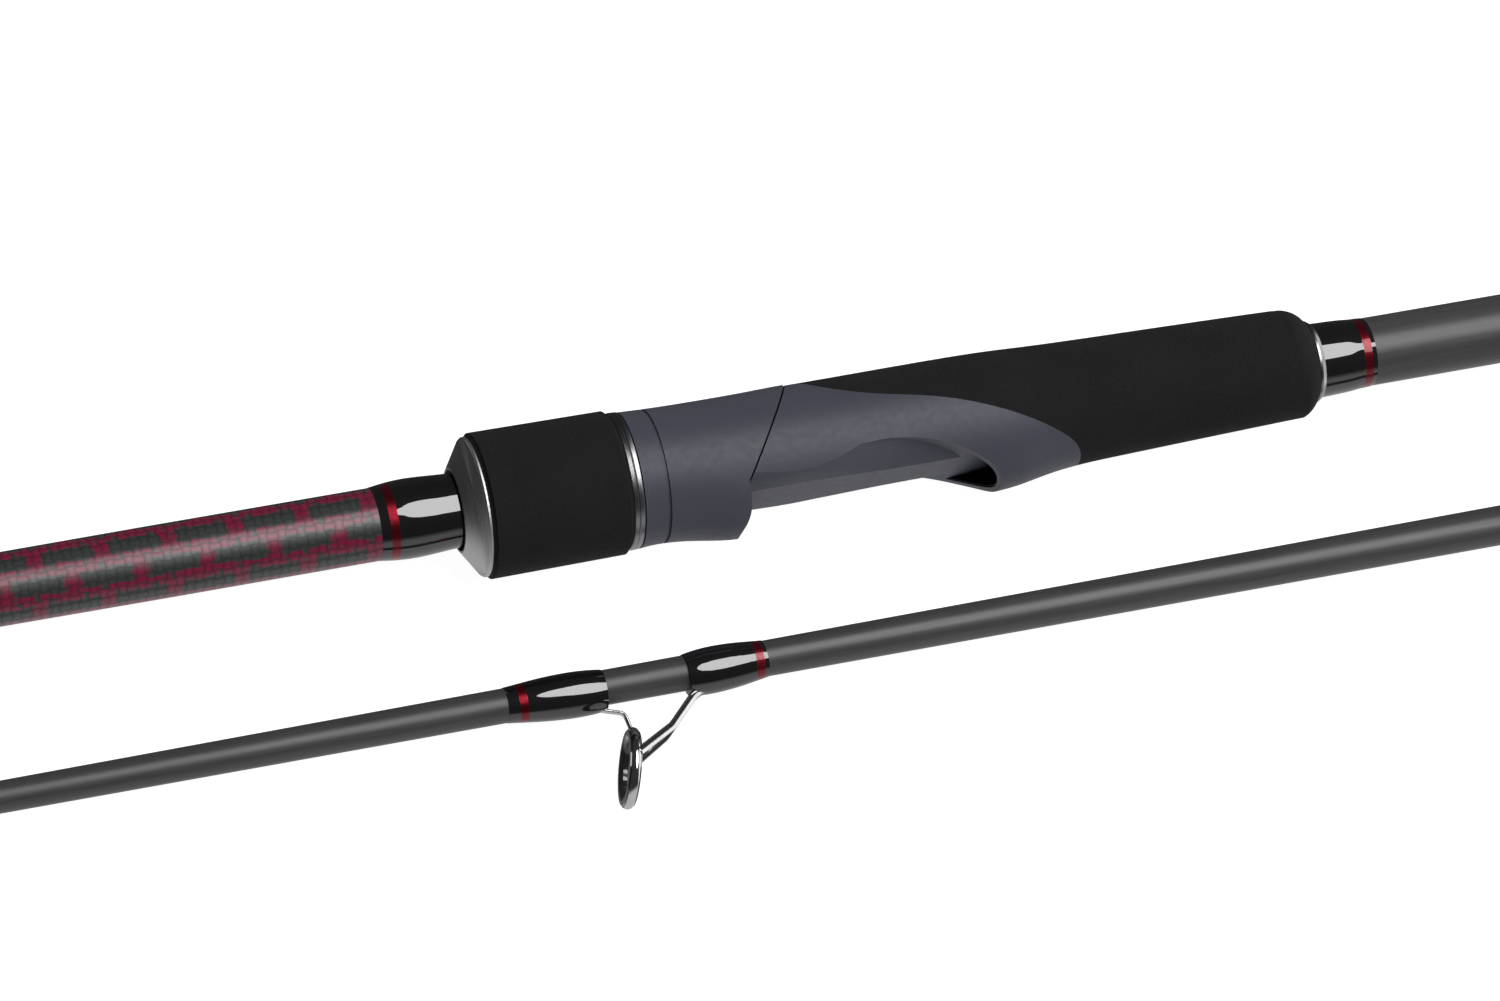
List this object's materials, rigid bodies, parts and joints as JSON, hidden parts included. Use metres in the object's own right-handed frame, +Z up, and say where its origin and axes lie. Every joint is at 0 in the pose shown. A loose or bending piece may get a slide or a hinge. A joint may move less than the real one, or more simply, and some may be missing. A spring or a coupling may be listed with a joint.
{
  "type": "spinning rod",
  "caption": "Two-section spinning fishing rod with its sections side by side, foam grips, a screw-down reel seat and ringed line guides.",
  "frame": {"origin": "bottom centre of the box round both sections as they lie on a floor", "axes": "+X along the sections towards the butt cap, +Z up from the floor, -Y the side the reel seat and guides face"},
  "size_m": [1.262, 0.0833, 0.0288],
  "materials": {
    "guide_metal": "polished dark chrome",
    "brushed_ring": "brushed",
    "bright_check": "satin bright",
    "ring_ceramic": "polished dark ceramic",
    "trim_crimson": "metallic under clear lacquer",
    "wrap_lacquer": "high gloss lacquer over black thread",
    "blank_carbon": "satin carbon fibre",
    "spigot_carbon": "ground satin carbon",
    "woven_skin": "woven carbon with crimson threads, satin",
    "grip_foam": "fine closed-cell foam",
    "seat_paint": "satin soft-touch paint",
    "liner_black": "matte black",
    "barrel_plastic": "satin black",
    "cap_rubber": "matte"
  },
  "bodies": {
    "butt_section": {"butt_blank": "blank_carbon", "butt_cap": "cap_rubber", "butt_check": "bright_check", "butt_ferrule_band": "trim_crimson", "butt_ferrule_wrap": "wrap_lacquer", "butt_grip": "grip_foam", "butt_grip_band": "trim_crimson", "butt_grip_wrap": "wrap_lacquer", "butt_ring": "bright_check", "ferrule_spigot": "spigot_carbon", "front_band": "trim_crimson", "front_wrap": "wrap_lacquer", "rear_band": "trim_crimson", "rear_check": "bright_check", "rear_grip": "grip_foam", "rear_wrap": "wrap_lacquer", "seat_body": "seat_paint", "seat_pocket_liner": "liner_black", "sleeve_end_band": "trim_crimson", "sleeve_end_wrap": "wrap_lacquer", "stripper_bands": "trim_crimson", "stripper_frame": "guide_metal", "stripper_ring": "ring_ceramic", "stripper_wraps": "wrap_lacquer", "threaded_barrel": "barrel_plastic", "woven_sleeve": "woven_skin"},
    "sliding_hood_body": {"sliding_hood": "seat_paint", "hood_pocket_liner": "liner_black"},
    "locking_nut": {"nut_core": "barrel_plastic", "nut_collar": "brushed_ring", "nut_grip": "grip_foam", "nut_ring": "brushed_ring"},
    "tip_section": {"guide_10_frame": "guide_metal", "guide_10_ring": "ring_ceramic", "guide_10_wraps": "wrap_lacquer", "guide_12_bands": "trim_crimson", "guide_12_frame": "guide_metal", "guide_12_ring": "ring_ceramic", "guide_12_wraps": "wrap_lacquer", "guide_16_bands": "trim_crimson", "guide_16_frame": "guide_metal", "guide_16_ring": "ring_ceramic", "guide_16_wraps": "wrap_lacquer", "guide_20_bands": "trim_crimson", "guide_20_frame": "guide_metal", "guide_20_ring": "ring_ceramic", "guide_20_wraps": "wrap_lacquer", "guide_8a_frame": "guide_metal", "guide_8a_ring": "ring_ceramic", "guide_8a_wraps": "wrap_lacquer", "guide_8b_frame": "guide_metal", "guide_8b_ring": "ring_ceramic", "guide_8b_wraps": "wrap_lacquer", "tip_blank": "blank_carbon", "tip_ferrule_band": "trim_crimson", "tip_ferrule_wrap": "wrap_lacquer", "tip_top_frame": "guide_metal", "tip_top_ring": "ring_ceramic", "tip_top_wrap": "wrap_lacquer"}
  },
  "joints": [
    {"name": "hood_slide", "type": "slide", "parent": "butt_section", "child": "sliding_hood_body", "axis": [-1, 0, 0], "range_m": [0, 0.01401]},
    {"name": "nut_spin", "type": "hinge", "parent": "sliding_hood_body", "child": "locking_nut", "pos_m": [0.221, 0.02725, 0.0144], "axis": [-1, 0, 0], "range_deg": [0, 1800]},
    {"name": "tip_section_part", "type": "slide", "parent": "butt_section", "child": "tip_section", "axis": [0, -1, 0], "range_m": [0, 0.2]}
  ],
  "couplings": [
    {"joint": "hood_slide", "follows": "nut_spin", "m_per_rad": 0.00044563}
  ]
}
